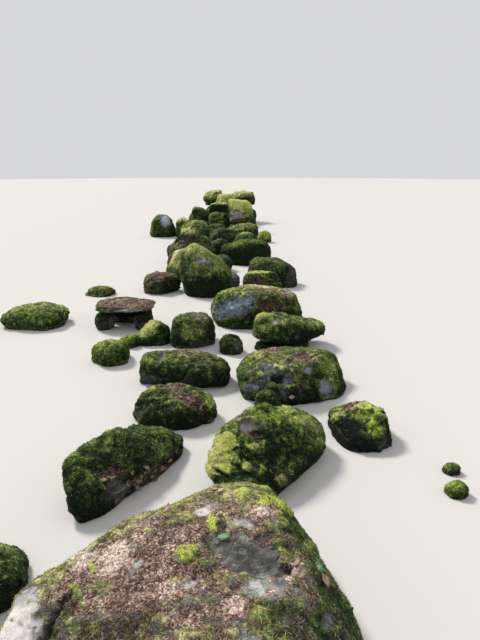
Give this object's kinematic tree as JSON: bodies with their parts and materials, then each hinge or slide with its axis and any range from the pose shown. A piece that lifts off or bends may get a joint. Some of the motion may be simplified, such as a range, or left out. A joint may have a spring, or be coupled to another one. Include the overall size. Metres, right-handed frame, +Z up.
{
  "type": "dry stone wall",
  "caption": "Low, sunken dry stone wall of rounded, moss-covered field boulders, one course near its front end and heaped two stones high at its far end.",
  "frame": {"origin": "on the ground under the middle of the wall's length and width", "axes": "+Y runs along the wall from the near end to the far end, +X is to the right when looking along +Y, +Z is up"},
  "size_m": [3.5569, 14.5348, 0.8728],
  "materials": {
    "mossy_stone": "matte",
    "dark_mossy_stone": "matte",
    "bright_mossy_stone": "matte",
    "litter_covered_stone": "matte",
    "bare_stone": "matte"
  },
  "bodies": {
    "root": {"front_boulder": "litter_covered_stone", "front_left_stone": "dark_mossy_stone", "left_boulder_1": "mossy_stone", "centre_boulder_1": "bright_mossy_stone", "right_boulder": "mossy_stone", "left_boulder_2": "mossy_stone", "left_boulder_3": "mossy_stone", "knob_stone": "dark_mossy_stone", "centre_boulder_2": "bare_stone", "low_left_stones": "dark_mossy_stone", "fallen_stones": "mossy_stone", "gap_stone": "dark_mossy_stone", "wedge_boulder": "mossy_stone", "wedge_footing": "bare_stone", "left_boulder_4": "mossy_stone", "round_stone": "bright_mossy_stone", "grey_faced_boulder": "bare_stone", "left_slab": "litter_covered_stone", "slab_supports": "bare_stone", "outlying_stones": "bright_mossy_stone", "low_broad_stone": "litter_covered_stone", "tall_boulder": "mossy_stone", "tall_neighbour": "bright_mossy_stone", "bare_gap_stone": "bare_stone", "split_rear": "mossy_stone", "split_ledge": "mossy_stone", "dark_boulder": "dark_mossy_stone", "brown_topped_boulder": "litter_covered_stone", "saddle_stone_1": "dark_mossy_stone", "saddle_stone_2": "bright_mossy_stone", "saddle_stone_3": "mossy_stone", "saddle_stone_4": "dark_mossy_stone", "left_edge_stone_1": "dark_mossy_stone", "left_edge_stone_2": "mossy_stone", "pale_rock": "bare_stone", "core_stones": "litter_covered_stone", "heap_base_stones": "dark_mossy_stone", "heap_front_1": "dark_mossy_stone", "heap_front_2": "dark_mossy_stone", "heap_front_3": "bright_mossy_stone", "heap_top_1": "dark_mossy_stone", "heap_top_2": "bright_mossy_stone", "heap_top_3": "mossy_stone", "heap_top_4": "mossy_stone"}
  },
  "joints": []
}
